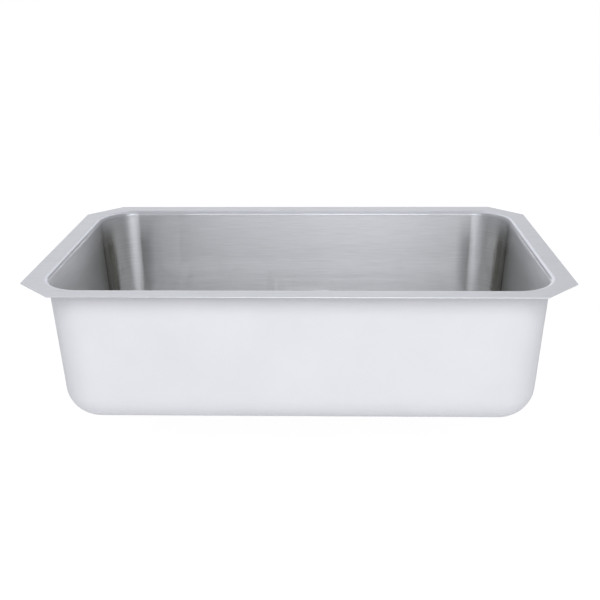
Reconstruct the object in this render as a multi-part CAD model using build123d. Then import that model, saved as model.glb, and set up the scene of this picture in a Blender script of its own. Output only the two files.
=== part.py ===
from build123d import *
import os
from math import cos, floor, pi, radians, sin, sqrt, tan

# Undermount kitchen sink: one drawn steel bowl under a counter, its sprayed coat and sound
# pads, the basket strainer in its drain, and the wire grid that lies in the bowl.
# Millimetres. Origin at the middle of the flange's top plane, +X along the sink, +Y to the
# rear wall, +Z up to the underside of the counter.

# Flange and drawn bowl
flange_length = 762.0
flange_depth = 457.2
flange_corner_cut = 52.0        # each leg of the 45 degree corner cuts
flat_band = 22.4                # flat part of the flange that meets the counter
roll_radius = 9.0               # rolled edge between flange and wall, on the top surface
sheet = 1.2
wall_draft = 2.5                # degrees
wall_corner_radius = 56.5       # in plan, at the top of the wall
bowl_depth = 214.3              # flange top to the floor beside the wall
floor_radius = 47.3             # cove between wall and floor
floor_corner_land = 4.0         # corner radius left on the flat floor inside the coves
floor_rim = 2.0                 # level border round the sloping floor
floor_fall = 4.0                # creased floor falls this far to the drain
drain_from_rear = 152.4         # drain centre to the flange's rear edge

# Drain seat pressed into the floor
drain_hole_radius = 45.0
recess_depth = 3.2              # seat below the lowest point of the creased floor
recess_flare = 18.0             # degrees that the recess wall leans out
recess_clearance = 1.3          # strainer flange to the recess wall
recess_rim_radius = 3.2         # bend from the floor down into the recess
recess_seat_radius = 2.0        # bend from the recess's wall to its seat

# Sprayed coat and sound pads on the outside
coat = 1.0
coat_top_gap = 4.0              # bare steel left under the rolled edge
bare_ring = 4.0                 # bare steel left round the recess
pad_thickness = 3.0
pad_corner_radius = 12.0
side_pad_length = 150.0
side_pad_depth = 210.0
side_pad_from_end = 105.0       # middle of each side pad from the flat floor's end
front_pad_depth = 96.0
front_pad_offset = 72.0         # middle of the front pad, towards the front
pad_gap = 29.96356            # bare coat between the front pad and each side pad
pad_edge_margin = 1.0           # a pad's prism runs this far past its two faces

# Basket strainer, turned about the drain's axis
gasket_thickness = 0.8
gasket_inset = 1.5              # gasket edge inside the strainer's flange
strainer_flange_radius = 57.15
strainer_flange_thickness = 1.6
strainer_edge_radius = 1.1
strainer_wall = 2.2
strainer_hole_clearance = 2.1   # strainer thread to the drain hole
strainer_depth = 50.0           # seat to the cup's floor
strainer_lip_radius = 3.0
strainer_cove_radius = 8.0
thread_pitch = 2.3
thread_height = 0.6
thread_crest = 0.7              # flat top of each ridge
cup_thread_start = 6.0          # top of the cup's thread below the seat
cup_thread_turns = 12
outlet_bore_radius = 19.3       # takes a 38.1 mm tube from below
outlet_throat_radius = 18.5     # over the shoulder where that tube stops
outlet_wall = 4.0
outlet_length = 22.2            # below the cup's floor
outlet_thread_turns = 6
outlet_thread_lead = 1.2        # plain end below the outlet's thread
hub_radius = 8.0
hub_height = 4.0
hub_drop = 1.5                  # hub's top below the cup's floor
tube_stop_gap = 3.1             # shoulder below the hub
spoke_count = 3
spoke_width = 3.0
spoke_root = 0.8                # spokes run this far into the outlet's wall
thread_clearance = 0.15

# Washers and nuts under the sink
washer_thickness = 3.5
washer_width = 10.5
friction_ring_thickness = 0.8
friction_ring_inset = 2.0
lock_nut_height = 12.0
lock_nut_wall = 7.0
lock_nut_collar = 3.0
lock_nut_collar_width = 11.0
lock_nut_edge = 1.0
lug_count = 8
lug_width = 7.0
lug_reach = 6.0
lug_height = 9.0
coupling_nut_height = 20.0
coupling_nut_wall = 5.0
coupling_flat_count = 8
coupling_nut_lip = 3.0
tail_washer_thickness = 2.5
tail_clearance = 0.3            # nut's lip round a tube that fills the outlet's bore

# Basket: post, stopper, swivelling cup and knob
post_radius = 4.0
running_clearance = 0.1         # post in the hub and in the cup's floor
seat_gap = 0.3                  # stopper over the strainer's floor, cup over its washer
collar_radius = 9.0
collar_thickness = 1.2
stopper_thickness = 3.0
stopper_edge = 1.8
stopper_round = 0.6
stopper_overlap = 4.7           # stopper past the outlet's bore
stopper_boss_radius = 13.0
backing_radius = 11.0
backing_thickness = 1.0
cup_sheet = 0.8
cup_floor_radius = 30.0
cup_cove_radius = 5.0
cup_rim_gap = 1.3               # basket's rim to the strainer's wall
cup_rim_width = 2.0
cup_height = 35.0
cup_hole_radius = 1.7
cup_row_count = 3
cup_row_spacing = 7.8
cup_hole_count = 24             # in each row up the wall
cup_floor_rings = (14.5, 19.0, 23.5)
cup_hole_spacing = 5.6          # round each ring of the floor
clip_radius = 8.0
clip_thickness = 0.8
clip_grip = 0.6                 # depth of the clip's groove in the post
post_tail = 8.3                 # post below the strainer's floor
post_end_radius = 0.48
detent_height = 1.6
detent_groove = 1.0
detent_clearance = 0.05
detent_from_end = 0.8
knob_radius = 9.0
knob_neck_radius = 5.0
knob_foot_radius = 7.0
knob_height = 15.0
knob_waist_height = 6.8         # narrowest place above the knob's foot
knob_flare_height = 3.0         # waist to shoulder
knob_foot_round = 0.8
knob_waist_round = 3.0
knob_shoulder_round = 1.0
knob_top_round = 2.5
knob_top_drop = 1.0             # knob's top below the strainer's flange
spigot_radius = 2.5
spigot_length = 8.0

# Wire grid in the bowl
grid_clearance = 22.0           # floor to the underside of the rails
grid_wall_gap = 24.0            # middle of the frame's rod to the wall beside it
grid_corner_radius = 30.0
frame_rod_radius = 3.0
rail_radius = 2.5
wire_radius = 2.0
wire_pitch = 25.0
wire_end_gap = 15.0             # last wire to the frame's side at least
weld_sink = 0.3                 # welded rods press into each other
ring_radius = 52.0              # middle of the drain ring's rod
rail_offset = 120.0             # front and rear rails from the sink's middle
foot_offset = 262.5             # corner feet from the sink's middle
front_foot_offset = 87.5
leg_radius = 3.0
leg_length = 12.0
foot_radius = 8.0
foot_height = 17.0
foot_edge = 1.5
foot_taper = 1.0
foot_gap = 0.3
bumper_radius = 6.0
bumper_gap = 1.0
bumper_edge = 1.5
bumper_taper = 1.0
bumper_from_rod = 1.5
stud_radius = 2.0
stud_length = 8.0
long_side_bumper = 200.0
short_side_bumper = 75.0
level_tolerance = 0.01          # for finding edges by their height

# Worked out from the values above
lean = tan(radians(wall_draft))
slant = cos(radians(wall_draft))
open_length = flange_length - 2 * (flat_band + roll_radius)
open_depth = flange_depth - 2 * (flat_band + roll_radius)
cove_reach = floor_radius * tan(radians(90 - wall_draft) / 2)
flat_half_length = open_length / 2 - bowl_depth * lean - cove_reach
flat_half_depth = open_depth / 2 - bowl_depth * lean - cove_reach
side_pad_x = flat_half_length - side_pad_from_end
front_pad_length = 2 * side_pad_x - side_pad_length - 2 * pad_gap
drain_y = flange_depth / 2 - drain_from_rear
seat_z = -(bowl_depth + floor_fall + recess_depth)
recess_radius = strainer_flange_radius + recess_clearance
flare = radians(recess_flare)
at_drain = Location((0, drain_y, seat_z))

strainer_thread_radius = drain_hole_radius - strainer_hole_clearance
strainer_bore = strainer_thread_radius - strainer_wall
strainer_top = gasket_thickness + strainer_flange_thickness
strainer_under = -(strainer_depth + strainer_wall)
outlet_radius = outlet_bore_radius + outlet_wall
outlet_end = -(strainer_depth + outlet_length)
hub_top = -(strainer_depth + hub_drop)
tube_stop = hub_top - hub_height - tube_stop_gap


def tub(grown):
    """Solid inside of the bowl, or that shape grown outwards by a thickness."""
    bottom = -(bowl_depth + grown)
    top_length = open_length + 2 * grown / slant
    top_depth = open_depth + 2 * grown / slant
    with BuildPart() as body:
        with BuildSketch():
            RectangleRounded(top_length, top_depth, wall_corner_radius + grown)
        with BuildSketch(Plane.XY.offset(bottom)):
            low_length = top_length + 2 * bottom * lean
            low_depth = top_depth + 2 * bottom * lean
            RectangleRounded(low_length, low_depth, floor_radius + floor_corner_land + grown)
        loft(ruled=True)
        fillet(body.edges().group_by(Axis.Z)[0], floor_radius + grown)
    return body.part


def floor_slope(grown):
    """Shallow pyramid under the floor: four creases run from the corners to the drain."""
    bottom = -(bowl_depth + grown)
    with BuildSketch(Plane.XY.offset(bottom)) as base:
        Rectangle(2 * (flat_half_length - floor_rim), 2 * (flat_half_depth - floor_rim))
    return loft([base.sketch, Vertex(0, drain_y, bottom - floor_fall)])


def floor_drop(x, y):
    """How far the creased floor lies below its level border at a place."""
    along = (flat_half_length - floor_rim - abs(x)) / (flat_half_length - floor_rim)
    behind = (flat_half_depth - floor_rim - y) / (flat_half_depth - floor_rim - drain_y)
    ahead = (flat_half_depth - floor_rim + y) / (flat_half_depth - floor_rim + drain_y)
    return floor_fall * max(0, min(along, behind, ahead))


def drain_recess(grown):
    """Dished seat round the drain, from below its floor up into the bowl."""
    base_radius = recess_radius + grown * (1 - sin(flare)) / cos(flare)
    height = floor_fall + recess_depth + grown
    top_radius = base_radius + height * tan(flare)
    seat = Cone(base_radius, top_radius, height, align=(Align.CENTER, Align.CENTER, Align.MIN))
    return Location((0, drain_y, seat_z - grown)) * seat


def near_drain(edge):
    """True for an edge that lies wholly in the column over the drain's recess."""
    reach = recess_radius + (floor_fall + recess_depth + sheet + coat) * tan(flare) + sheet + coat
    box = edge.bounding_box()
    across = max(abs(box.min.X), abs(box.max.X))
    along = max(abs(box.min.Y - drain_y), abs(box.max.Y - drain_y))
    return max(across, along) < reach + recess_rim_radius


def bowl_shape(grown):
    """Bowl, creased floor and drain recess in one, with the recess's two bends rounded."""
    shape = tub(grown) + floor_slope(grown) + drain_recess(grown)
    bends = shape.edges().filter_by(near_drain).filter_by(GeomType.LINE, reverse=True)
    levels = bends.group_by(lambda edge: edge.bounding_box().max.Z < seat_z - grown + level_tolerance)
    shape = fillet(levels[0], recess_rim_radius - grown)
    bends = shape.edges().filter_by(near_drain).filter_by(GeomType.CIRCLE)
    return fillet(bends.sort_by(Axis.Z)[0], recess_seat_radius + grown)


def level_edges(part, height):
    """Edges in one level plane, inside the flange's flat band."""
    reach_x = flange_length / 2 - flat_band / 2
    reach_y = flange_depth / 2 - flat_band / 2

    def fits(edge):
        box = edge.bounding_box()
        level = max(abs(box.min.Z - height), abs(box.max.Z - height)) < level_tolerance
        return level and max(box.max.X, -box.min.X) < reach_x and max(box.max.Y, -box.min.Y) < reach_y
    return part.edges().filter_by(fits)


def sink_bowl():
    outline = chamfer(Rectangle(flange_length, flange_depth).vertices(), flange_corner_cut)
    shell = extrude(outline, amount=-sheet) + bowl_shape(sheet)
    shell = fillet(level_edges(shell, -sheet), roll_radius - sheet)
    shell = shell - bowl_shape(0)
    shell = fillet(level_edges(shell, 0), roll_radius)
    return shell - at_drain * Cylinder(drain_hole_radius, 4 * sheet)


def sound_coat():
    """Sprayed skin on the walls and floor, bare round the drain and under the flange."""
    skin = bowl_shape(sheet + coat) - bowl_shape(sheet)
    coat_top = -(roll_radius + coat_top_gap)
    above = Box(flange_length, flange_depth, -coat_top, align=(Align.CENTER, Align.CENTER, Align.MIN))
    bare_radius = recess_radius + (floor_fall + recess_depth) * tan(flare) + sheet + bare_ring
    round_drain = at_drain * Cylinder(bare_radius, floor_radius)
    return skin - Location((0, 0, coat_top)) * above - round_drain


def sound_pad(middle_x, middle_y, length, depth):
    """Flat rubber pad that follows the sloping floor, under the coat."""
    inner = sheet + coat
    outer = inner + pad_thickness
    low = -(bowl_depth + outer + floor_fall + pad_edge_margin)
    high = -(bowl_depth + inner - pad_edge_margin)
    with BuildPart() as prism:
        with BuildSketch(Plane.XY.offset(low)):
            with Locations((middle_x, middle_y)):
                RectangleRounded(length, depth, pad_corner_radius)
        extrude(amount=high - low)
    slab = Box(flange_length, flange_depth, bowl_depth, align=(Align.CENTER, Align.CENTER, Align.MIN))
    below = Location((0, 0, -(bowl_depth + outer))) * slab + floor_slope(outer)
    above = Location((0, 0, -(bowl_depth + inner))) * slab + floor_slope(inner)
    return prism.part & below - above


def turned(profile):
    """Solid turned about Z from (radius, height, corner radius) points."""
    corners = [(r, z) for r, z, _ in profile]
    with BuildPart() as body:
        with BuildSketch(Plane.XZ) as section:
            with BuildLine():
                Polyline(*corners, close=True)
            make_face()
            for r, z, corner in profile:
                if corner > 0:
                    fillet(section.vertices().sort_by_distance(Vector(r, z))[0], corner)
        revolve(axis=Axis.Z)
    return body.part


def ring(inner, outer, low, high):
    return turned([(inner, low, 0), (outer, low, 0), (outer, high, 0), (inner, high, 0)])


def thread_points(radius, start, turns):
    """Ridges of a thread down the outside of a turned piece, as rings."""
    flank = (thread_pitch - thread_crest) / 2
    points = []
    for turn in range(turns):
        top = start - turn * thread_pitch
        points.append((radius - thread_height, top, 0))
        points.append((radius, top - flank, 0))
        points.append((radius, top - flank - thread_crest, 0))
    points.append((radius - thread_height, start - turns * thread_pitch, 0))
    return points


def strainer_body():
    flange_under = gasket_thickness
    core = strainer_thread_radius - thread_height
    stem = outlet_radius - thread_height
    stem_thread_top = outlet_end + outlet_thread_lead + outlet_thread_turns * thread_pitch
    profile = [
        (strainer_flange_radius, flange_under, 0),
        (strainer_flange_radius, strainer_top, strainer_edge_radius),
        (strainer_bore, strainer_top, strainer_lip_radius),
        (strainer_bore, -strainer_depth, strainer_cove_radius),
        (outlet_throat_radius, -strainer_depth, 0),
        (outlet_throat_radius, tube_stop, 0),
        (outlet_bore_radius, tube_stop, 0),
        (outlet_bore_radius, outlet_end, 0),
        (stem, outlet_end, 0),
    ]
    profile += reversed(thread_points(outlet_radius, stem_thread_top, outlet_thread_turns))
    profile.append((stem, strainer_under, 0))
    profile.append((core, strainer_under, strainer_cove_radius))
    profile += reversed(thread_points(strainer_thread_radius, -cup_thread_start, cup_thread_turns))
    profile.append((core, flange_under, 0))
    hub = ring(post_radius + running_clearance, hub_radius, hub_top - hub_height, hub_top)
    body = turned(profile) + hub
    inner = hub_radius - spoke_root
    outer = outlet_throat_radius + spoke_root
    for place in PolarLocations((inner + outer) / 2, spoke_count):
        spoke = Box(outer - inner, spoke_width, hub_height)
        body += Location((0, 0, hub_top - hub_height / 2)) * place * spoke
    return at_drain * body


def flange_gasket():
    outer = strainer_flange_radius - gasket_inset
    return at_drain * ring(drain_hole_radius, outer, 0, gasket_thickness)


def rubber_washer():
    inner = strainer_thread_radius + thread_clearance
    return at_drain * ring(inner, inner + washer_width, -(sheet + washer_thickness), -sheet)


def friction_ring():
    inner = strainer_thread_radius + thread_clearance
    outer = inner + washer_width - friction_ring_inset
    top = -(sheet + washer_thickness)
    return at_drain * ring(inner, outer, top - friction_ring_thickness, top)


def lock_nut():
    """Cast nut with lugs for a spanner, up against the friction ring."""
    inner = strainer_thread_radius + thread_clearance
    wall = inner + lock_nut_wall
    collar = inner + lock_nut_collar_width
    top = -(sheet + washer_thickness + friction_ring_thickness)
    low = top - lock_nut_height
    nut = turned([
        (inner, low, 0),
        (wall, low, lock_nut_edge),
        (wall, top - lock_nut_collar, 0),
        (collar, top - lock_nut_collar, 0),
        (collar, top, 0),
        (inner, top, 0),
    ])
    reach = lug_reach + lock_nut_wall / 2
    for place in PolarLocations(wall + lug_reach - reach / 2, lug_count):
        lug = Box(reach, lug_width, lug_height, align=(Align.CENTER, Align.CENTER, Align.MAX))
        nut += Location((0, 0, top - lock_nut_collar)) * place * lug
    return at_drain * nut


def coupling_nut():
    """Slip nut on the outlet: a tube pushed up through it seats in the outlet's bore."""
    inner = outlet_radius + thread_clearance
    lip_top = outlet_end - tail_washer_thickness
    low = lip_top - coupling_nut_lip
    with BuildPart() as nut:
        with BuildSketch(Plane.XY.offset(low)):
            RegularPolygon(inner + coupling_nut_wall, coupling_flat_count, major_radius=False)
        extrude(amount=coupling_nut_height)
        with BuildSketch(Plane.XY.offset(lip_top)):
            Circle(inner)
        extrude(amount=coupling_nut_height, mode=Mode.SUBTRACT)
        with BuildSketch(Plane.XY.offset(low)):
            Circle(outlet_bore_radius + tail_clearance)
        extrude(amount=coupling_nut_height, mode=Mode.SUBTRACT)
    return at_drain * nut.part


def tail_washer():
    low = outlet_end - tail_washer_thickness
    return at_drain * ring(outlet_bore_radius + tail_clearance, outlet_radius - thread_height, low, outlet_end)


# Heights in the basket, counted from the drain seat
stopper_low = -strainer_depth + seat_gap
stopper_high = stopper_low + stopper_thickness
backing_high = stopper_high + backing_thickness
cup_low = backing_high + seat_gap
clip_low = cup_low + cup_sheet + seat_gap
post_low = -(strainer_depth + post_tail)
knob_high = strainer_top - knob_top_drop
knob_low = knob_high - knob_height
detent_low = post_low + detent_from_end


def basket_post():
    grip = post_radius - clip_grip
    groove = post_radius - detent_groove
    return at_drain * turned([
        (0, post_low, 0),
        (post_radius, post_low, post_end_radius),
        (post_radius, detent_low, 0),
        (groove, detent_low, 0),
        (groove, detent_low + detent_height, 0),
        (post_radius, detent_low + detent_height, 0),
        (post_radius, stopper_low - collar_thickness, 0),
        (collar_radius, stopper_low - collar_thickness, 0),
        (collar_radius, stopper_low, 0),
        (post_radius, stopper_low, 0),
        (post_radius, clip_low, 0),
        (grip, clip_low, 0),
        (grip, clip_low + clip_thickness, 0),
        (post_radius, clip_low + clip_thickness, 0),
        (post_radius, knob_low, 0),
        (spigot_radius, knob_low, 0),
        (spigot_radius, knob_low + spigot_length, 0),
        (0, knob_low + spigot_length, 0),
    ])


def detent_ring():
    outer = post_radius + running_clearance - detent_clearance
    low = detent_low
    return at_drain * ring(post_radius - detent_groove, outer, low, low + detent_height)


def basket_stopper():
    outer = outlet_bore_radius + stopper_overlap
    return at_drain * turned([
        (post_radius, stopper_low, 0),
        (outer, stopper_low, stopper_round),
        (outer, stopper_low + stopper_edge, stopper_round),
        (stopper_boss_radius, stopper_high, 0),
        (post_radius, stopper_high, 0),
    ])


def backing_washer():
    return at_drain * ring(post_radius, backing_radius, stopper_high, backing_high)


def post_clip():
    inner = post_radius - clip_grip
    return at_drain * ring(inner, clip_radius, clip_low, clip_low + clip_thickness)


def basket_knob():
    """Turned knob on the post's spigot, waisted for two fingers."""
    waist = knob_low + knob_waist_height
    return at_drain * turned([
        (spigot_radius, knob_low, 0),
        (knob_foot_radius, knob_low, knob_foot_round),
        (knob_neck_radius, waist, knob_waist_round),
        (knob_radius, waist + knob_flare_height, knob_shoulder_round),
        (knob_radius, knob_high, knob_top_round),
        (0, knob_high, 0),
        (0, knob_low + spigot_length, 0),
        (spigot_radius, knob_low + spigot_length, 0),
    ])


def basket_cup():
    """Pressed cup with a rolled rim, drilled in rings on its floor and rows up its wall."""
    rim_radius = strainer_bore - cup_rim_gap
    wall_top = rim_radius - cup_rim_width
    high = cup_low + cup_height
    hole = post_radius + running_clearance
    cup = turned([
        (hole, cup_low, 0),
        (cup_floor_radius, cup_low, cup_cove_radius),
        (wall_top, high - cup_sheet, 0),
        (rim_radius, high - cup_sheet, 0),
        (rim_radius, high, 0),
        (wall_top - cup_sheet, high, 0),
        (cup_floor_radius - cup_sheet, cup_low + cup_sheet, cup_cove_radius - cup_sheet),
        (hole, cup_low + cup_sheet, 0),
    ])
    drill = Cylinder(cup_hole_radius, 4 * cup_sheet)
    for ring_middle in cup_floor_rings:
        count = floor(2 * pi * ring_middle / cup_hole_spacing)
        places = PolarLocations(ring_middle, count)
        cup -= [Location((0, 0, cup_low)) * place * drill for place in places]
    long_drill = Cylinder(cup_hole_radius, strainer_bore, rotation=(0, 90, 0))
    wall_low = cup_low + cup_cove_radius + cup_hole_spacing / 2
    for row in range(cup_row_count):
        height = wall_low + row * cup_row_spacing
        turn = row % 2 * 180 / cup_hole_count
        places = PolarLocations(strainer_bore, cup_hole_count, start_angle=turn)
        cup -= [Location((0, 0, height)) * place * long_drill for place in places]
    return at_drain * cup


# Levels in the grid: wires lie on the rails, the frame and the drain ring
foot_floor = -(bowl_depth + floor_drop(foot_offset, rail_offset))
rail_z = foot_floor + grid_clearance + rail_radius
wire_z = rail_z + rail_radius + wire_radius - weld_sink
frame_z = wire_z - wire_radius - frame_rod_radius + weld_sink


def wall_reach(height):
    """Distance from the flat floor's edge to the cove, at a height above the floor."""
    return sqrt(floor_radius ** 2 - (floor_radius - height) ** 2)


frame_reach = wall_reach(frame_z + bowl_depth) - grid_wall_gap
frame_half_length = flat_half_length + frame_reach
frame_half_depth = flat_half_depth + frame_reach


def rod(start, end, radius):
    """Straight round rod between two points."""
    way = Vector(*end) - Vector(*start)
    plane = Plane(origin=start, z_dir=way)
    return plane.location * Cylinder(radius, way.length, align=(Align.CENTER, Align.CENTER, Align.MIN))


def round_rod(start, end, radius):
    """Rod with rounded ends, as a wire left by the welding press."""
    return rod(start, end, radius) + Location(start) * Sphere(radius) + Location(end) * Sphere(radius)


def grid_frame():
    outline = RectangleRounded(2 * frame_half_length, 2 * frame_half_depth, grid_corner_radius)
    path = (Location((0, 0, frame_z)) * outline).wire()
    section = Plane(origin=path @ 0, z_dir=path % 0) * Circle(frame_rod_radius)
    return sweep(section, path=path)


def wire_places():
    """Wires either side of the middle at an even pitch, none on the middle line."""
    count = floor((frame_half_length - wire_end_gap) / wire_pitch + 0.5)
    right = [(i + 0.5) * wire_pitch for i in range(count)]
    return [-x for x in reversed(right)] + right


def grid_wires():
    """Front-to-back wires; those that meet the drain ring stop on it."""
    wires = []
    for x in wire_places():
        spans = [(-frame_half_depth, frame_half_depth)]
        if abs(x) < ring_radius:
            half_gap = sqrt(ring_radius ** 2 - x ** 2)
            spans = [(-frame_half_depth, drain_y - half_gap), (drain_y + half_gap, frame_half_depth)]
        for low, high in spans:
            wires.append(round_rod((x, low, wire_z), (x, high, wire_z), wire_radius))
    return Compound(children=wires)


def drain_ring():
    return Location((0, drain_y, rail_z)) * Torus(ring_radius, rail_radius)


def grid_rails():
    """Rails under the wires: front, middle, and a rear one that stops at the drain ring."""
    end = frame_half_length - frame_rod_radius + weld_sink
    middle = (drain_y - ring_radius - rail_offset) / 2
    rails = []
    for y in (-rail_offset, middle):
        rails.append(rod((-end, y, rail_z), (end, y, rail_z), rail_radius))
    inner = sqrt(max(0, ring_radius ** 2 - (rail_offset - drain_y) ** 2))
    for side in (-1, 1):
        stub = rod((side * inner, rail_offset, rail_z), (side * end, rail_offset, rail_z), rail_radius)
        rails.append(max((stub - drain_ring()).solids(), key=lambda s: s.volume))
    return Compound(children=rails)


def foot_places():
    corners = [(x, y) for x in (-foot_offset, foot_offset) for y in (-rail_offset, rail_offset)]
    return corners + [(-front_foot_offset, -rail_offset), (front_foot_offset, -rail_offset)]


def grid_legs():
    top = rail_z - rail_radius + weld_sink
    low = top - leg_length
    return Compound(children=[rod((x, y, low), (x, y, top), leg_radius) for x, y in foot_places()])


def grid_feet():
    """Rubber boots pressed on the legs."""
    leg_low = rail_z - rail_radius + weld_sink - leg_length
    feet = []
    for x, y in foot_places():
        low = -(bowl_depth + floor_drop(x, y)) + foot_gap
        boot = turned([
            (0, low, 0),
            (foot_radius, low, foot_edge),
            (foot_radius - foot_taper, low + foot_height, foot_edge),
            (leg_radius, low + foot_height, 0),
            (leg_radius, leg_low, 0),
            (0, leg_low, 0),
        ])
        feet.append(Location((x, y, 0)) * boot)
    return Compound(children=feet)


bumper_side = wall_reach(frame_z - bumper_radius + bowl_depth) - frame_reach - bumper_gap


def bumper_places():
    """Place and outward turn, in degrees, of each bumper on the frame."""
    places = []
    for x in (-long_side_bumper, long_side_bumper):
        places.append(Location((x, frame_half_depth, frame_z), (0, 0, 90)))
        places.append(Location((x, -frame_half_depth, frame_z), (0, 0, -90)))
    for y in (-short_side_bumper, short_side_bumper):
        places.append(Location((frame_half_length, y, frame_z)))
        places.append(Location((-frame_half_length, y, frame_z), (0, 0, 180)))
    return places


def bumper_studs():
    start = frame_rod_radius - weld_sink
    stud = rod((start, 0, 0), (start + stud_length, 0, 0), stud_radius)
    return Compound(children=[place * stud for place in bumper_places()])


def grid_bumpers():
    """Rubber caps on the studs, which keep the grid off the walls."""
    low = frame_rod_radius + bumper_from_rod
    stud_end = frame_rod_radius - weld_sink + stud_length
    cap = turned([
        (stud_radius, low, 0),
        (bumper_radius - bumper_taper, low, bumper_edge),
        (bumper_radius, bumper_side, bumper_edge),
        (0, bumper_side, 0),
        (0, stud_end, 0),
        (stud_radius, stud_end, 0),
    ])
    lying = Rot(0, 90, 0) * cap
    return Compound(children=[place * lying for place in bumper_places()])


nodes = {
    "sink_bowl": sink_bowl(),
    "sound_coat": sound_coat(),
    "sound_pad_left": sound_pad(-side_pad_x, 0, side_pad_length, side_pad_depth),
    "sound_pad_right": sound_pad(side_pad_x, 0, side_pad_length, side_pad_depth),
    "sound_pad_front": sound_pad(0, -front_pad_offset, front_pad_length, front_pad_depth),
    "strainer_body": strainer_body(),
    "flange_gasket": flange_gasket(),
    "rubber_washer": rubber_washer(),
    "friction_ring": friction_ring(),
    "lock_nut": lock_nut(),
    "coupling_nut": coupling_nut(),
    "tail_washer": tail_washer(),
    "basket_post": basket_post(),
    "detent_ring": detent_ring(),
    "basket_stopper": basket_stopper(),
    "backing_washer": backing_washer(),
    "basket_cup": basket_cup(),
    "post_clip": post_clip(),
    "basket_knob": basket_knob(),
    "grid_frame": grid_frame(),
    "grid_wires": grid_wires(),
    "grid_rails": grid_rails(),
    "drain_ring": drain_ring(),
    "grid_legs": grid_legs(),
    "grid_feet": grid_feet(),
    "bumper_studs": bumper_studs(),
    "grid_bumpers": grid_bumpers(),
}

os.makedirs("parts", exist_ok=True)
for name, solid in nodes.items():
    export_step(solid, f"parts/{name}.step")
    print(name, round(solid.volume), "mm3")
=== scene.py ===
import math

import bmesh
import bpy
from mathutils import Matrix, Vector, noise


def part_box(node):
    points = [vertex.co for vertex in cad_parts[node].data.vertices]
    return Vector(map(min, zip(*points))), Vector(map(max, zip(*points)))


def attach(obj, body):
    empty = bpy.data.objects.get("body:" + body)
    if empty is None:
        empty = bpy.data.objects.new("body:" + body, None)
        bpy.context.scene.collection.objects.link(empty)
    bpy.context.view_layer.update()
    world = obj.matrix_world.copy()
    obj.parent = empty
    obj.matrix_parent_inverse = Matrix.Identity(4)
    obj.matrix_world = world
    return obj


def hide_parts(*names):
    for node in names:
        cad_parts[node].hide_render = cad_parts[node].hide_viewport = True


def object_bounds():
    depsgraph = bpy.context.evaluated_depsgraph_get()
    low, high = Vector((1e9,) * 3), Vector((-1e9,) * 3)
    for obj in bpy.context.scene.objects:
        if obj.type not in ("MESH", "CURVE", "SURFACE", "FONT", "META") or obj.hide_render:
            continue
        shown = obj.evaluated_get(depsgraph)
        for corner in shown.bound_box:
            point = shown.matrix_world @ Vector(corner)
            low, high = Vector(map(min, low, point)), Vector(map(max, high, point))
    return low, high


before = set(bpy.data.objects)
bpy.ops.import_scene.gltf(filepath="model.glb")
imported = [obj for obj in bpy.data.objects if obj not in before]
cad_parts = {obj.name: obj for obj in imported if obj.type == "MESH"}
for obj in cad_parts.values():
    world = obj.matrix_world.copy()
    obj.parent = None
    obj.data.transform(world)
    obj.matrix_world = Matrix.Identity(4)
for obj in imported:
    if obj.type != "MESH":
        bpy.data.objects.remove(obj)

cadLow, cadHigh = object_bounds()
print("frame loaded, nodes:", len(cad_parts))

# metres throughout, origin at the middle of the flange's top, rear wall at +Y
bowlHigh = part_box("sink_bowl")[1]
flangeX, flangeY = bowlHigh.x, bowlHigh.y
drainLow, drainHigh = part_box("strainer_body")
drainY = (drainLow.y + drainHigh.y) / 2
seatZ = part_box("flange_gasket")[0].z

near = 1e-5        # points closer than this count as the same place
double = 1e-6      # vertices closer than this are merged


# small helpers around the mesh operators
def deselectAll():
    if bpy.context.object and bpy.context.object.mode != "OBJECT":
        bpy.ops.object.mode_set(mode="OBJECT")
    bpy.ops.object.select_all(action="DESELECT")


def workOn(obj):
    deselectAll()
    obj.select_set(True)
    bpy.context.view_layer.objects.active = obj
    return obj


def pick(obj, kind, test):
    # selects vertices, edges or faces by their place and stays in edit mode
    if bpy.context.object != obj or obj.mode != "EDIT":
        workOn(obj)
        bpy.ops.object.mode_set(mode="EDIT")
    bpy.ops.mesh.select_mode(type=kind)
    bpy.ops.mesh.select_all(action="DESELECT")
    mesh = bmesh.from_edit_mesh(obj.data)
    chosen = {"VERT": mesh.verts, "EDGE": mesh.edges, "FACE": mesh.faces}[kind]
    for item in chosen:
        if test(item):
            item.select = True
    mesh.select_flush_mode()
    bmesh.update_edit_mesh(obj.data)


def objectMode():
    bpy.ops.object.mode_set(mode="OBJECT")


def settle(obj):
    # puts the object's place into its mesh
    workOn(obj)
    bpy.ops.object.transform_apply(location=True, rotation=True, scale=True)
    return obj


def useModifier(obj, kind, **settings):
    workOn(obj)
    mod = obj.modifiers.new(kind.lower(), kind)
    for key, value in settings.items():
        setattr(mod, key, value)
    bpy.ops.object.modifier_apply(modifier=mod.name)


def smooth(obj, degrees):
    workOn(obj)
    bpy.ops.object.shade_smooth_by_angle(angle=math.radians(degrees))


def faceOut(obj, up=None):
    # merges doubles and turns the faces; up=True or False tells an open sheet which way
    pick(obj, "FACE", lambda f: True)
    bpy.ops.mesh.remove_doubles(threshold=double)
    bpy.ops.mesh.normals_make_consistent(inside=False)
    objectMode()
    if up is None:
        return
    rise = sum(f.normal.z * f.area for f in obj.data.polygons)
    if (rise > 0) != up:
        pick(obj, "FACE", lambda f: True)
        bpy.ops.mesh.flip_normals()
        objectMode()


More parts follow.
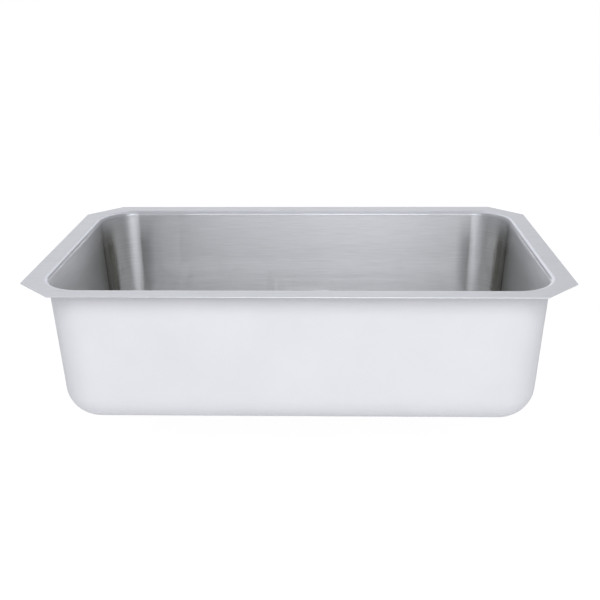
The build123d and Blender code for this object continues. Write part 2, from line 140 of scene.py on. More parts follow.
def drawLine(name, points):
    # a bare chain of edges, drawn point by point
    deselectAll()
    bpy.ops.mesh.primitive_plane_add(size=0.01, location=points[0])
    obj = bpy.context.object
    obj.name = name
    settle(obj)
    bpy.ops.object.mode_set(mode="EDIT")
    bpy.ops.mesh.select_mode(type="VERT")
    bpy.ops.mesh.select_all(action="SELECT")
    bpy.ops.mesh.merge(type="CENTER")
    for a, b in zip(points, points[1:]):
        step = Vector(b) - Vector(a)
        bpy.ops.mesh.extrude_vertices_move(TRANSFORM_OT_translate={"value": step})
    objectMode()
    return obj


def extrudeRing(obj, place):
    # extrudes the selected edges and moves each new vertex to its own place
    bpy.ops.mesh.extrude_edges_move(TRANSFORM_OT_translate={"value": (0, 0, 0)})
    mesh = bmesh.from_edit_mesh(obj.data)
    for v in mesh.verts:
        if v.select:
            v.co = place(v.co.copy())
    bmesh.update_edit_mesh(obj.data)


# the shell, as one sheet of steel
sinkShape = {
    "cornerCut": 0.052,
    "flatBand": 0.0224,
    "rollRadius": 0.009,
    "sheet": 0.0012,
    "draft": math.radians(2.5),
    "topCorner": 0.0565,
    "floorCorner": 0.0513,
    "depth": 0.2143,
    "coveRadius": 0.0473,
    "floorRim": 0.002,
    "floorFall": 0.004,
    "recessRadius": 0.05845,
    "recessFlare": math.radians(18),
    "recessRim": 0.0032,
    "recessSeat": 0.002,
    "recessRounds": 6,       # the rim's radius and height settle on each other in a few rounds
    "drainHole": 0.045,
    "cornerSteps": 32,
    "rollSteps": 10,
    "coveSteps": 24,
    "bendSteps": 5,
    "floorRings": 10,
    "sideStep": 0.04,
    "wallStep": 0.03,
    "tipSnap": 0.0032,       # a flange point this close to a tip of the cut corner moves onto it
    "smoothAngle": 35,
    "normalWeight": 60,
}

openX = flangeX - sinkShape["flatBand"] - sinkShape["rollRadius"]
openY = flangeY - sinkShape["flatBand"] - sinkShape["rollRadius"]
axisX = openX - sinkShape["topCorner"]        # upright axis of each plan corner, at the top
axisY = openY - sinkShape["topCorner"]
wallTurn = math.pi / 2 - sinkShape["draft"]
lean = math.tan(sinkShape["draft"])
coveReach = sinkShape["coveRadius"] * math.tan(wallTurn / 2)
inset = sinkShape["depth"] * lean + coveReach
flatX, flatY = openX - inset, openY - inset   # flat floor inside the coves
floorTurn = sinkShape["floorCorner"] - coveReach   # corner radius of the flat floor
cornerShift = sinkShape["depth"] * lean + sinkShape["floorCorner"] - sinkShape["topCorner"]


def axisMove(z):
    # how far inwards the axis of a plan corner has moved at this height
    return cornerShift * min(1, max(0, -z / sinkShape["depth"]))


def wallProfile(grown, step):
    # (distance from the corner's axis, height) from the roll down to the floor's edge
    s = sinkShape
    roll = s["rollRadius"] - grown
    cove = s["coveRadius"] + grown
    rollX = s["topCorner"] + s["rollRadius"] * math.tan(wallTurn / 2)
    points = []
    for i in range(s["rollSteps"] + 1):
        a = wallTurn * i / s["rollSteps"]
        points.append((rollX - roll * math.sin(a), -s["rollRadius"] + roll * math.cos(a)))
    coveX = s["topCorner"] - inset
    coveZ = -s["depth"] + s["coveRadius"]
    start = (coveX + cove * math.cos(-s["draft"]), coveZ + cove * math.sin(-s["draft"]))
    top = points[-1]
    run, drop = start[0] - top[0], start[1] - top[1]
    count = max(1, math.ceil(-drop / step))
    for i in range(1, count):
        points.append((top[0] + run * i / count, top[1] + drop * i / count))
    for i in range(s["coveSteps"] + 1):
        a = -s["draft"] - wallTurn * i / s["coveSteps"]
        points.append((coveX + cove * math.cos(a), coveZ + cove * math.sin(a)))
    # with depth the corner's axis moves inwards, and the corner grows only a little tighter
    return [(r + axisMove(z), z) for r, z in points]


def spunWalls(name, profile, sideStep, cornerSteps):
    # one corner spun from its profile, run out to both middle lines, then mirrored
    obj = drawLine(name, [(axisX + r, axisY, z) for r, z in profile])
    pick(obj, "EDGE", lambda e: True)
    bpy.ops.mesh.spin(steps=cornerSteps, angle=-math.pi / 2,
                      center=(axisX, axisY, 0), axis=(0, 0, 1))
    for axis, start in ((0, axisX), (1, axisY)):
        other = 1 - axis
        edge = (axisX, axisY)[other]
        pick(obj, "EDGE", lambda e: all(
            abs(v.co[axis] - start) < near and v.co[other] > edge + near for v in e.verts))
        count = max(1, round(start / sideStep))
        way = Vector((0, 0, 0))
        way[axis] = -start / count
        for _ in range(count):
            bpy.ops.mesh.extrude_edges_move(TRANSFORM_OT_translate={"value": way})
    mesh = bmesh.from_edit_mesh(obj.data)
    for v in mesh.verts:
        deep = axisMove(v.co.z)
        v.co.x = 0 if abs(v.co.x) < near else v.co.x - deep * min(1, v.co.x / axisX)
        v.co.y = 0 if abs(v.co.y) < near else v.co.y - deep * min(1, v.co.y / axisY)
    bmesh.update_edit_mesh(obj.data)
    objectMode()
    useModifier(obj, "MIRROR", use_axis=(True, True, False), use_mirror_merge=True,
                merge_threshold=near)
    return obj


def floorDrop(x, y):
    # how far the creased floor lies under its level rim
    rimX, rimY = flatX - sinkShape["floorRim"], flatY - sinkShape["floorRim"]
    along = (rimX - abs(x)) / rimX
    behind = (rimY - y) / (rimY - drainY)
    ahead = (rimY + y) / (rimY + drainY)
    return sinkShape["floorFall"] * max(0.0, min(along, behind, ahead))


def onEdge(edge, height):
    # a free edge that lies level at this height
    return edge.is_boundary and all(abs(v.co.z - height) < near for v in edge.verts)


def layFloor(obj, base, holeRadius, rings, levelRim=True):
    # runs the floor's edge in towards the drain, ring by ring along the creases
    pick(obj, "EDGE", lambda e: onEdge(e, base))

    def toRim(co):
        cornerX, cornerY = flatX - floorTurn, flatY - floorTurn
        out = Vector((max(0, abs(co.x) - cornerX), max(0, abs(co.y) - cornerY)))
        keep = (out.length - sinkShape["floorRim"]) / out.length
        x = min(abs(co.x), cornerX) + out.x * keep
        y = min(abs(co.y), cornerY) + out.y * keep
        return Vector((math.copysign(x, co.x), math.copysign(y, co.y), base))

    if levelRim:
        extrudeRing(obj, toRim)
    for i in range(rings):
        share = 1 / (rings - i)

        def inwards(co):
            turn = math.atan2(co.y - drainY, co.x)
            r = holeRadius(turn)
            end = Vector((r * math.cos(turn), drainY + r * math.sin(turn), 0))
            x = co.x + (end.x - co.x) * share
            y = co.y + (end.y - co.y) * share
            return Vector((x, y, base - floorDrop(x, y)))

        extrudeRing(obj, inwards)


def rimEdge(turn):
    # where the recess wall would meet the sloping floor at one side of the drain
    s = sinkShape
    flare = math.tan(s["recessFlare"])
    r = s["recessRadius"]
    for _ in range(s["recessRounds"]):
        high = -s["depth"] - floorDrop(r * math.cos(turn), drainY + r * math.sin(turn))
        r = s["recessRadius"] + (high - seatZ) * flare
    return r, high


def recessStart(turn):
    s = sinkShape
    bend = math.pi / 2 - s["recessFlare"]
    return rimEdge(turn)[0] + s["recessRim"] * math.tan(bend / 2)


def pressRecess(obj):
    # the bend over the recess's rim, its wall, the bend to the seat, and the drain hole
    s = sinkShape
    bend = math.pi / 2 - s["recessFlare"]
    steps = s["bendSteps"]
    seatStart = s["recessRadius"] - s["recessSeat"] * math.tan(bend / 2)

    def ringAt(radiusAndHeight):
        def place(co):
            turn = math.atan2(co.y - drainY, co.x)
            r, z = radiusAndHeight(turn)
            return Vector((r * math.cos(turn), drainY + r * math.sin(turn), z))
        extrudeRing(obj, place)

    for i in range(1, steps + 1):
        a = bend * i / steps
        ringAt(lambda turn: (recessStart(turn) - s["recessRim"] * math.sin(a),
                             rimEdge(turn)[1] - s["recessRim"] * (1 - math.cos(a))))
    for i in range(steps, -1, -1):
        a = bend * i / steps
        ringAt(lambda turn: (seatStart + s["recessSeat"] * math.sin(a),
                             seatZ + s["recessSeat"] * (1 - math.cos(a))))
    ringAt(lambda turn: (s["drainHole"], seatZ))


def octagonReach(co):
    # the flange's outer edge straight out from the wall, or along a ray in a corner
    x, y = abs(co.x), abs(co.y)
    sx, sy = (1 if co.x >= 0 else -1), (1 if co.y >= 0 else -1)
    if x <= axisX:
        return Vector((co.x, sy * flangeY, 0))
    if y <= axisY:
        return Vector((sx * flangeX, co.y, 0))
    way = Vector((x - axisX, y - axisY)).normalized()
    reachX, reachY = flangeX - axisX, flangeY - axisY
    runs = [(reachX + reachY - sinkShape["cornerCut"]) / (way.x + way.y)]
    if way.x > double:
        runs.append(reachX / way.x)
    if way.y > double:
        runs.append(reachY / way.y)
    run = min(runs)
    end = Vector((axisX + way.x * run, axisY + way.y * run, 0))
    tips = (Vector((flangeX - sinkShape["cornerCut"], flangeY, 0)),
            Vector((flangeX, flangeY - sinkShape["cornerCut"], 0)))
    for tip in tips:
        if (end - tip).length < sinkShape["tipSnap"]:
            end = tip
    return Vector((sx * end.x, sy * end.y, 0))


def makeSink():
    s = sinkShape
    profile = wallProfile(0, s["wallStep"])
    shell = spunWalls("sink_shell", profile, s["sideStep"], s["cornerSteps"])
    pick(shell, "EDGE", lambda e: onEdge(e, 0))
    extrudeRing(shell, octagonReach)
    layFloor(shell, -s["depth"], recessStart, s["floorRings"])
    pressRecess(shell)
    objectMode()
    faceOut(shell, up=True)
    # the sheet grows down and outwards, away from the bowl
    useModifier(shell, "SOLIDIFY", thickness=s["sheet"], offset=-1, use_even_offset=True)
    smooth(shell, s["smoothAngle"])
    useModifier(shell, "WEIGHTED_NORMAL", mode="FACE_AREA", weight=s["normalWeight"],
                keep_sharp=True)
    return shell


# the sprayed coat on the shell's outside
coatShape = {
    "coat": 0.001,
    "topZ": -0.013,
    "bareRadius": 0.06599,
    "cell": 0.012,
    "cornerSteps": 12,
    "floorRings": 16,
    "swell": 0.00035,
    "swellScale": 20,
    "fineSwell": 0.00012,
    "fineScale": 120,
    "skinShare": 0.6,        # thickness modelled, as a share of the coat's
    "smoothAngle": 50,
}


def makeCoat():
    s, c = sinkShape, coatShape
    grown = s["sheet"] + c["coat"]
    wall = wallProfile(grown, c["cell"])
    below = [p for p in wall if p[1] < c["topZ"]]
    last = [p for p in wall if p[1] >= c["topZ"]][-1]
    k = (last[1] - c["topZ"]) / (last[1] - below[0][1])
    edge = (last[0] + (below[0][0] - last[0]) * k, c["topZ"])
    straight = [p for p in below if p[1] > -s["depth"] + s["coveRadius"]]
    cove = below[len(straight):]
    profile = [edge] + straight + cove[1:-1:2] + cove[-1:]
    base = -(s["depth"] + grown)
    skin = spunWalls("coat_skin", profile, c["cell"], c["cornerSteps"])
    layFloor(skin, base, lambda turn: c["bareRadius"], c["floorRings"], levelRim=False)
    objectMode()
    faceOut(skin, up=False)
    useModifier(skin, "SUBSURF", subdivision_type="SIMPLE", levels=1, render_levels=1)
    # the spray is a little uneven, always inwards so that it keeps its size
    verts = skin.data.vertices
    normals = [v.normal.copy() for v in verts]
    for v, normal in zip(verts, normals):
        slow = noise.noise(v.co * c["swellScale"]) * 0.5 + 0.5
        fine = noise.noise(v.co * c["fineScale"]) * 0.5 + 0.5
        v.co -= normal * (c["swell"] * slow + c["fineSwell"] * fine)
    useModifier(skin, "SOLIDIFY", thickness=c["coat"] * c["skinShare"], offset=-1)
    smooth(skin, c["smoothAngle"])
    return skin


# shader helpers
noiseBand = (0.3, 0.7)   # most of a noise pattern's values lie between these


def newGroup(name, inputs, outputs):
    # a group with number inputs, each with its usual value, and number outputs
    group = bpy.data.node_groups.new(name, "ShaderNodeTree")
    kind = "NodeSocketFloat"
    for label, value in inputs:
        socket = group.interface.new_socket(name=label, in_out="INPUT", socket_type=kind)
        socket.default_value = value
    for label in outputs:
        group.interface.new_socket(name=label, in_out="OUTPUT", socket_type=kind)
    return group, node(group, "NodeGroupInput").outputs, node(group, "NodeGroupOutput").inputs


def newMaterial(name):
    made = bpy.data.materials.new(name)
    made.use_nodes = True
    return made, made.node_tree, made.node_tree.nodes["Principled BSDF"]


def node(tree, kind, **settings):
    made = tree.nodes.new(kind)
    for key, value in settings.items():
        setattr(made, key, value)
    return made


def feed(tree, socket, value):
    # links another socket, or sets a constant
    if hasattr(value, "is_linked"):
        tree.links.new(value, socket)
    else:
        socket.default_value = value


def setInputs(shader, values):
    for label, value in values.items():
        shader.inputs[label].default_value = value


def placeGroup(tree, group, **values):
    made = node(tree, "ShaderNodeGroup", node_tree=group)
    setInputs(made, values)
    return made.outputs


def mathNode(tree, operation, a, b=None):
    made = node(tree, "ShaderNodeMath", operation=operation)
    feed(tree, made.inputs[0], a)
    if b is not None:
        feed(tree, made.inputs[1], b)
    return made.outputs[0]


def mixValue(tree, factor, a, b, kind="FLOAT"):
    made = node(tree, "ShaderNodeMix", data_type=kind)
    first = {"FLOAT": 2, "VECTOR": 4, "RGBA": 6}[kind]
    feed(tree, made.inputs[0], factor)
    feed(tree, made.inputs[first], a)
    feed(tree, made.inputs[first + 1], b)
    return made.outputs[{"FLOAT": 0, "VECTOR": 1, "RGBA": 2}[kind]]


def mixColor(tree, factor, a, b):
    return mixValue(tree, factor, a, b, "RGBA")


def remap(tree, value, low, high, outLow=0.0, outHigh=1.0):
    made = node(tree, "ShaderNodeMapRange")
    for socket, v in zip(made.inputs, (value, low, high, outLow, outHigh)):
        feed(tree, socket, v)
    return made.outputs[0]


def noiseNode(tree, vector, scale, detail, rough=0.5):
    made = node(tree, "ShaderNodeTexNoise")
    feed(tree, made.inputs["Vector"], vector)
    feed(tree, made.inputs["Scale"], scale)
    feed(tree, made.inputs["Detail"], detail)
    feed(tree, made.inputs["Roughness"], rough)
    return made.outputs[0]


def ramp(tree, value, stops):
    # each stop: its place, the share kept there, and how much less blue if it is warm
    made = node(tree, "ShaderNodeValToRGB")
    feed(tree, made.inputs[0], value)
    points = made.color_ramp.elements
    while len(points) < len(stops):
        points.new(1.0)
    for point, (place, share, *warm) in zip(points, stops):
        point.position = place
        point.color = (share, share, share * (1 - sum(warm)), 1)
    return made.outputs[0]


def objectPlace(tree):
    return node(tree, "ShaderNodeTexCoord").outputs["Object"]


def split(tree, vector):
    made = node(tree, "ShaderNodeSeparateXYZ")
    feed(tree, made.inputs[0], vector)
    return made.outputs


def faceRise(tree):
    # 1 on a level face, 0 on an upright one
    normal = node(tree, "ShaderNodeNewGeometry").outputs["Normal"]
    return mathNode(tree, "ABSOLUTE", split(tree, normal)[2])


def addBump(tree, shader, height, strength, distance):
    bump = node(tree, "ShaderNodeBump")
    setInputs(bump, {"Strength": strength, "Distance": distance})
    feed(tree, bump.inputs["Height"], height)
    feed(tree, shader.inputs["Normal"], bump.outputs[0])


def roughen(tree, shader, height, rough, spread):
    value = remap(tree, height, *noiseBand, rough - spread / 2, rough + spread / 2)
    feed(tree, shader.inputs["Roughness"], value)


# brushed steel
brushLook = {
    "density": 1000.0,
    "length": 20.0,
    "detail": 4.0,
    "breakUp": 0.62,
    "levelFrom": 0.6,        # a face's rise from which it counts as level
    "levelTo": 0.8,
}


def brushedGroup():
    # fine brush lines: level round the walls, lengthwise on level faces
    look = brushLook
    inputs = [("Density", look["density"]), ("Length", look["length"])]
    group, enter, out = newGroup("brushLines", inputs, ["Streak", "Level"])
    level = remap(group, faceRise(group), look["levelFrom"], look["levelTo"])
    place = split(group, objectPlace(group))
    along, across = enter["Length"], enter["Density"]
    patterns = []
    for scales in ((along, along, across), (along, across, along)):
        joined = node(group, "ShaderNodeCombineXYZ")
        for i, scale in enumerate(scales):
            feed(group, joined.inputs[i], mathNode(group, "MULTIPLY", place[i], scale))
        patterns.append(noiseNode(group, joined.outputs[0], 1.0, look["detail"], look["breakUp"]))
    feed(group, out["Streak"], mixValue(group, level, patterns[0], patterns[1]))
    feed(group, out["Level"], level)
    return group


# where a zone begins and ends: turns in radians, heights in metres, and the rise of a face
zoneShape = {
    "turn": (-math.pi / 6, math.pi * 2 / 3),
    "deep": (-0.010, -0.055),
    "rimTop": (-0.0001, -0.0006),
    "rimFoot": (-0.0095, -0.0075),
    "upright": (0.5, 0.2),
    "sheetEdge": (-0.0014, -0.0012),
}


def cornerGroup():
    # Around: how far round an upright corner of the bowl a point lies, 0.2 at the side wall's
    # end and 0.8 at the long wall's. Deep: under the rolled edge. Rim: the rolled edge.
    # Edge: the cut edge of the sheet round the flange.
    # The corner's axis is taken halfway down the wall.
    inputs = [("AxisX", axisX - cornerShift / 2), ("AxisY", axisY - cornerShift / 2)]
    group, enter, out = newGroup("cornerZone", inputs, ["Around", "Deep", "Rim", "Edge"])
    place = split(group, objectPlace(group))
    away = [mathNode(group, "SUBTRACT", mathNode(group, "ABSOLUTE", place[i]), enter[axis])
            for i, axis in enumerate(("AxisX", "AxisY"))]

    def zone(value, name):
        return remap(group, value, *zoneShape[name])

    feed(group, out["Around"], zone(mathNode(group, "ARCTAN2", away[1], away[0]), "turn"))
    feed(group, out["Deep"], zone(place[2], "deep"))
    rim = mathNode(group, "MULTIPLY", zone(place[2], "rimTop"), zone(place[2], "rimFoot"))
    feed(group, out["Rim"], rim)
    upright = zone(faceRise(group), "upright")
    feed(group, out["Edge"], mathNode(group, "MULTIPLY", upright, zone(place[2], "sheetEdge")))
    return group


steelLook = {
    "pale": (0.600, 0.596, 0.603, 1),
    "dark": (0.492, 0.488, 0.495, 1),
    # the cut edge's paler colour: partly the fresh metal's own tone, partly a painted highlight
    "cutEdgeAndHighlight": (0.78, 0.77, 0.755, 1),
    "rough": 0.42,
    "flangeRough": 0.36,
    "roughSpread": 0.012,
    "roughBand": (0.25, 0.75),
    "clear": 1.0,
    # painted shade: the rolled edge's colour is taken a little down and bluer to dim its highlight
    "rimShade": (0.93, 0.93, 0.95, 1),
    "rimRough": 0.60,
    "rimClear": 0.5,
    "bump": 0.08,
    "bumpDepth": 0.00003,
    "fixed": {
        "Metallic": 1.0,
        "Anisotropic": 0.96,
        "Coat Roughness": 0.05,
        "Coat IOR": 2.3,
    },
    # shares of the walls' roughness, colour and clear layer kept round a corner; the colour shares
    # are painted shade, with dark bands that are warmer where darkest
    "cornerRough": (
        (0.0, 0.80), (0.14, 0.78), (0.20, 0.50), (0.40, 0.52), (0.46, 0.86), (0.62, 0.90),
        (0.65, 1.0), (0.72, 0.95), (0.78, 0.74), (0.86, 0.80), (0.94, 1.0),
    ),
    "cornerShade": (
        (0.0, 0.70, 0.04), (0.14, 0.66, 0.05), (0.20, 0.41, 0.20), (0.40, 0.41, 0.20),
        (0.46, 0.88, 0.04), (0.62, 0.92, 0.03), (0.65, 1.0), (0.72, 0.95), (0.78, 0.76, 0.02),
        (0.86, 0.82), (0.94, 1.0),
    ),
    "cornerClear": (
        (0.0, 0.52), (0.14, 0.50), (0.20, 0.62), (0.40, 0.62), (0.46, 0.92), (0.62, 1.0),
    ),
}


def brushedSteel(lineGroup, zoneGroup):
    look = steelLook
    made, tree, shader = newMaterial("brushedSteel")
    setInputs(shader, look["fixed"])
    lines = placeGroup(tree, lineGroup)
    zone = placeGroup(tree, zoneGroup)
    # brushing spreads a highlight across its lines: up and down on walls, fore and aft on
    # level faces
    lying = remap(tree, faceRise(tree), brushLook["levelFrom"], brushLook["levelTo"])
    feed(tree, shader.inputs["Tangent"], mixValue(tree, lying, (0, 0, 1), (0, 1, 0), "VECTOR"))

    # the press leaves the corners smoother than the brushed walls; the darker colour on the corners
    # and side walls is painted shade, darkest and warmest in the corner bands
    around, deep, rim = zone["Around"], zone["Deep"], zone["Rim"]
    white = (1, 1, 1, 1)
    shade = mixColor(tree, deep, white, ramp(tree, around, look["cornerShade"]))
    # painted shade on the rolled edge, a little darker and bluer
    shade = mixColor(tree, rim, shade, look["rimShade"])
    tint = remap(tree, lines["Streak"], *noiseBand)
    color = mixColor(tree, tint, look["dark"], look["pale"])
    # the cut edge is paler: fresh metal and a painted highlight
    color = mixColor(tree, zone["Edge"], color, look["cutEdgeAndHighlight"])
    shaded = node(tree, "ShaderNodeVectorMath", operation="MULTIPLY")
    feed(tree, shaded.inputs[0], color)
    feed(tree, shaded.inputs[1], shade)
    feed(tree, shader.inputs["Base Color"], shaded.outputs[0])

    clear = mixValue(tree, deep, look["clear"], ramp(tree, around, look["cornerClear"]))
    clear = mixValue(tree, rim, clear, look["rimClear"])
    feed(tree, shader.inputs["Coat Weight"], mixValue(tree, lines["Level"], clear, 0.0))

    half = look["roughSpread"] / 2
    rough = mixValue(tree, lines["Level"], look["rough"], look["flangeRough"])
    rough = mixValue(tree, rim, rough, look["rimRough"])
    streaks = remap(tree, lines["Streak"], *look["roughBand"], -half, half)
    rough = mathNode(tree, "ADD", rough, streaks)
    share = mixValue(tree, deep, 1.0, ramp(tree, around, look["cornerRough"]))
    feed(tree, shader.inputs["Roughness"], mathNode(tree, "MULTIPLY", rough, share))
    addBump(tree, shader, lines["Streak"], look["bump"], look["bumpDepth"])
    return made


grainLook = {
    "scale": 300.0,
    "detail": 4.0,
    "breakUp": 0.6,
    "tintBand": (0.35, 0.7),
}


def grainGroup():
    # an even fine grain: a mask for the colour, and its height for bump and roughness
    look = grainLook
    group, enter, out = newGroup("fineGrain", [("Scale", look["scale"])], ["Tint", "Height"])
    place = objectPlace(group)
    grain = noiseNode(group, place, enter["Scale"], look["detail"], look["breakUp"])
    feed(group, out["Tint"], remap(group, grain, *look["tintBand"]))
    feed(group, out["Height"], grain)
    return group


coatLook = {
    "color": (0.780, 0.771, 0.780, 1),
    "pale": (0.822, 0.811, 0.816, 1),
    "rough": 0.78,
    "roughSpread": 0.2,
    "fineScale": 900.0,
    "fineShare": 0.35,
    "slowScale": 9,
    "lumpScale": 220,
    "detail": 3,
    "lumpBreakUp": 0.6,
    "tintBand": (0.45, 0.95),
    "bump": 0.35,
    "bumpDepth": 0.0003,
}


def sprayedCoat(grain):
    look = coatLook
    made, tree, shader = newMaterial("sprayedCoat")
    coord = objectPlace(tree)
    fine = placeGroup(tree, grain, Scale=look["fineScale"])["Height"]
    slow = noiseNode(tree, coord, look["slowScale"], look["detail"])
    lumps = noiseNode(tree, coord, look["lumpScale"], look["detail"], look["lumpBreakUp"])
    speckle = mathNode(tree, "ADD", slow, mathNode(tree, "MULTIPLY", fine, look["fineShare"]))
    tint = remap(tree, speckle, *look["tintBand"])
    feed(tree, shader.inputs["Base Color"], mixColor(tree, tint, look["color"], look["pale"]))
    roughen(tree, shader, fine, look["rough"], look["roughSpread"])
    addBump(tree, shader, mathNode(tree, "ADD", fine, lumps), look["bump"], look["bumpDepth"])
    return made


# plain finishes: colour, roughness, grain scale, spread of roughness, depth of bump
metalLooks = {
    "wireSteel": ((0.90, 0.90, 0.89), 0.38, 350, 0.06, 0.00003),
    "polishedSteel": ((0.70, 0.70, 0.69), 0.12, 260, 0.06, 0.00003),
    "platedZinc": ((0.52, 0.53, 0.54), 0.42, 500, 0.15, 0.0002),
}
softLooks = {
    "padRubber": ((0.035, 0.035, 0.038), 0.8, 300, 0.16, 0.0002),
    "sealRubber": ((0.02, 0.02, 0.02), 0.6, 500, 0.16, 0.0002),
    "footRubber": ((0.05, 0.05, 0.055), 0.55, 400, 0.16, 0.0002),
    "pressedFibre": ((0.30, 0.22, 0.14), 0.9, 900, 0.16, 0.0002),
    "whitePlastic": ((0.62, 0.62, 0.60), 0.4, 200, 0.16, 0.0002),
}
metalGrain = {"dull": 0.86, "bump": 0.15}
softGrain = {"pale": 1.5, "lift": 0.01, "bump": 0.25}


def grained(grain, name, low, high, bump, look):
    # a plain finish whose grain runs between two colours
    made, tree, shader = newMaterial(name)
    rough, scale, spread, depth = look[1:]
    fine = placeGroup(tree, grain, Scale=scale)
    color = mixColor(tree, fine["Tint"], tuple(low) + (1,), tuple(high) + (1,))
    feed(tree, shader.inputs["Base Color"], color)
    roughen(tree, shader, fine["Height"], rough, spread)
    addBump(tree, shader, fine["Height"], bump, depth)
    return made, shader


def plainMetal(grain, name):
    look = metalLooks[name]
    dull = [v * metalGrain["dull"] for v in look[0]]
    made, shader = grained(grain, name, dull, look[0], metalGrain["bump"], look)
    setInputs(shader, {"Metallic": 1.0})
    return made


def softFinish(grain, name):
    look = softLooks[name]
    pale = [min(1, v * softGrain["pale"] + softGrain["lift"]) for v in look[0]]
    made, shader = grained(grain, name, look[0], pale, softGrain["bump"], look)
    return made


def paint(obj, material):
    obj.data.materials.clear()
    obj.data.materials.append(material)


# camera, floor and light
cameraView = {
    "sensor": 36,
    "clip": (0.05, 50),
    "pitch": math.radians(21.114),
    "yaw": math.radians(1.461),
    "roll": math.radians(-0.398),
    "place": (0.0434, -1.2710, 0.3989),
    "focal": 854.486,
    "frameSize": 600,
    "middle": (308.545, 300.0),
}


def makeCamera():
    c = cameraView
    size = c["frameSize"]
    turn = Matrix.Rotation(c["yaw"], 3, "Z") @ Matrix.Rotation(-c["pitch"], 3, "X")
    right, ahead, up = turn.col[0], turn.col[1], turn.col[2]
    cosR, sinR = math.cos(c["roll"]), math.sin(c["roll"])
    data = bpy.data.cameras.new("camera")
    data.sensor_width = c["sensor"]
    data.lens = c["sensor"] * c["focal"] / size
    data.shift_x = -(c["middle"][0] - size / 2) / size
    data.shift_y = (c["middle"][1] - size / 2) / size
    data.clip_start, data.clip_end = c["clip"]
    camera = bpy.data.objects.new("camera", data)
    bpy.context.scene.collection.objects.link(camera)
    axes = (right * cosR + up * sinR, up * cosR - right * sinR, -ahead)
    place = Matrix(axes).transposed().to_4x4()
    place.translation = c["place"]
    camera.matrix_world = place
    bpy.context.scene.camera = camera


studio = {
    "floorDrop": 0.012,
    "floorSize": 14.0,
    "floorLook": {"Base Color": (0.95, 0.95, 0.95, 1), "Roughness": 0.9, "Specular IOR Level": 0.1},
    "floorGlow": 1.07,
    "glowShare": 0.9,        # the rest of the floor's white is lit, so it takes the shadow
    "white": 1.0,
    "ambient": 0.476,
    "cool": (0.93, 0.955, 1.0),
    "lamps": {
        # place, aim, width, height, power: one soft row in front, brighter in the middle
        "keyFar": ((-0.8, -1.6, 1.1), (0, 0.1, -0.1), 0.5, 0.8, 1.4),
        "keyLeft": ((-0.3, -1.6, 1.1), (0, 0.1, -0.1), 0.5, 0.8, 4.4),
        "key": ((0.2, -1.6, 1.1), (0, 0.1, -0.1), 0.5, 0.8, 6.7),
        "keyRight": ((0.7, -1.6, 1.1), (0, 0.1, -0.1), 0.5, 0.8, 3.6),
        "fill": ((0.4, -3.2, 0.9), (0, 0, -0.1), 2.4, 1.6, 12.1),
        "top": ((-1.0, 0.4, 2.2), (0, 0, -0.1), 1.0, 1.4, 3.8),
        "behind": ((0.0, 2.6, -0.05), (0, 0, -0.14), 3.0, 0.4, 22.0),
    },
}


def seenDirectly(tree):
    path = node(tree, "ShaderNodeLightPath").outputs
    seen = mathNode(tree, "MAXIMUM", path["Is Camera Ray"], path["Is Glossy Ray"])
    return mathNode(tree, "MAXIMUM", seen, path["Is Transmission Ray"])


def roomColor(tree):
    # pure white to the camera, cool to everything it lights
    seen = node(tree, "ShaderNodeLightPath").outputs["Is Camera Ray"]
    return mixColor(tree, seen, studio["cool"] + (1,), (1, 1, 1, 1))


def makeFloor():
    deselectAll()
    floorZ = cadLow.z - studio["floorDrop"]
    bpy.ops.mesh.primitive_plane_add(size=studio["floorSize"], location=(0, 0, floorZ))
    floor = settle(bpy.context.object)
    floor.name = "studio_floor"
    made, tree, shader = newMaterial("studioFloor")
    setInputs(shader, studio["floorLook"])
    glow = node(tree, "ShaderNodeEmission")
    feed(tree, glow.inputs[0], roomColor(tree))
    feed(tree, glow.inputs[1], studio["floorGlow"])
    mix = node(tree, "ShaderNodeMixShader")
    share = mathNode(tree, "MULTIPLY", seenDirectly(tree), studio["glowShare"])
    feed(tree, mix.inputs[0], share)
    feed(tree, mix.inputs[1], shader.outputs[0])
    feed(tree, mix.inputs[2], glow.outputs[0])
    feed(tree, tree.nodes["Material Output"].inputs[0], mix.outputs[0])
    paint(floor, made)


def makeWorld():
    world = bpy.data.worlds.new("studio")
    bpy.context.scene.world = world
    world.use_nodes = True
    tree = world.node_tree
    back = tree.nodes["Background"]
    feed(tree, back.inputs[0], roomColor(tree))
    strength = mixValue(tree, seenDirectly(tree), studio["ambient"], studio["white"])
    feed(tree, back.inputs[1], strength)


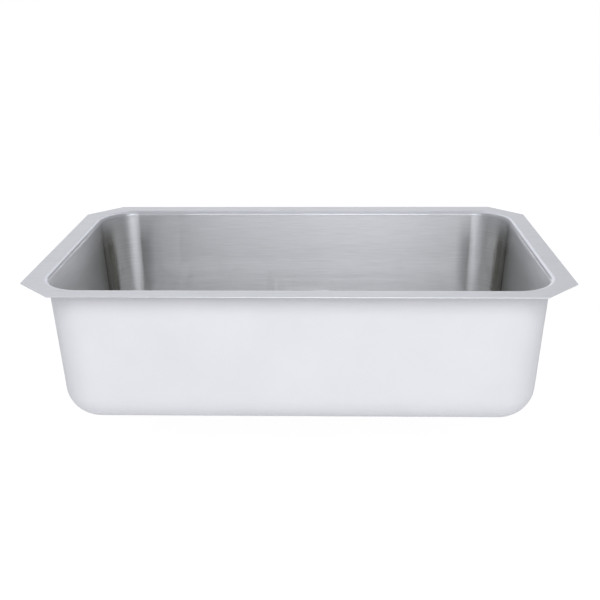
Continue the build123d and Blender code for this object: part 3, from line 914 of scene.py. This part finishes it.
def makeLamps():
    for name, (place, aim, wide, high, power) in studio["lamps"].items():
        lamp = bpy.data.lights.new(name, "AREA")
        lamp.shape = "RECTANGLE"
        lamp.energy, lamp.size, lamp.size_y = power, wide, high
        lamp.color = studio["cool"]
        obj = bpy.data.objects.new(name, lamp)
        bpy.context.scene.collection.objects.link(obj)
        obj.location = place
        ahead = Vector(aim) - Vector(place)
        obj.rotation_euler = ahead.to_track_quat("-Z", "Y").to_euler()


# everything is made from here on
makeCamera()
makeFloor()
makeWorld()
makeLamps()
print("camera, floor and light ready")

fineGrain = grainGroup()
steel = brushedSteel(brushedGroup(), cornerGroup())
coatPaint = sprayedCoat(fineGrain)
metals = {name: plainMetal(fineGrain, name) for name in metalLooks}
softs = {name: softFinish(fineGrain, name) for name in softLooks}
wire, polished, zinc = metals["wireSteel"], metals["polishedSteel"], metals["platedZinc"]
pad, seal, foot = softs["padRubber"], softs["sealRubber"], softs["footRubber"]

finishes = {
    "sink_bowl": steel, "sound_coat": coatPaint,
    "sound_pad_left": pad, "sound_pad_right": pad, "sound_pad_front": pad,
    "strainer_body": polished, "flange_gasket": seal, "rubber_washer": seal,
    "friction_ring": softs["pressedFibre"], "tail_washer": softs["whitePlastic"],
    "lock_nut": zinc, "coupling_nut": zinc,
    "basket_post": polished, "detent_ring": seal, "basket_stopper": seal,
    "backing_washer": polished, "basket_cup": polished, "post_clip": polished,
    "basket_knob": polished,
    "grid_frame": wire, "grid_wires": wire, "grid_rails": wire, "drain_ring": wire,
    "grid_legs": wire, "bumper_studs": wire, "grid_feet": foot, "grid_bumpers": foot,
}
for name, material in finishes.items():
    paint(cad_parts[name], material)
print("finishes laid")

sink = makeSink()
paint(sink, steel)
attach(sink, "sink")
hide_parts("sink_bowl")
print("sink shell:", len(sink.data.polygons), "faces")

coat = makeCoat()
paint(coat, coatPaint)
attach(coat, "sink")
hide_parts("sound_coat")
print("coat:", len(coat.data.polygons), "faces")

view = bpy.context.scene.view_settings
view.view_transform = "Standard"
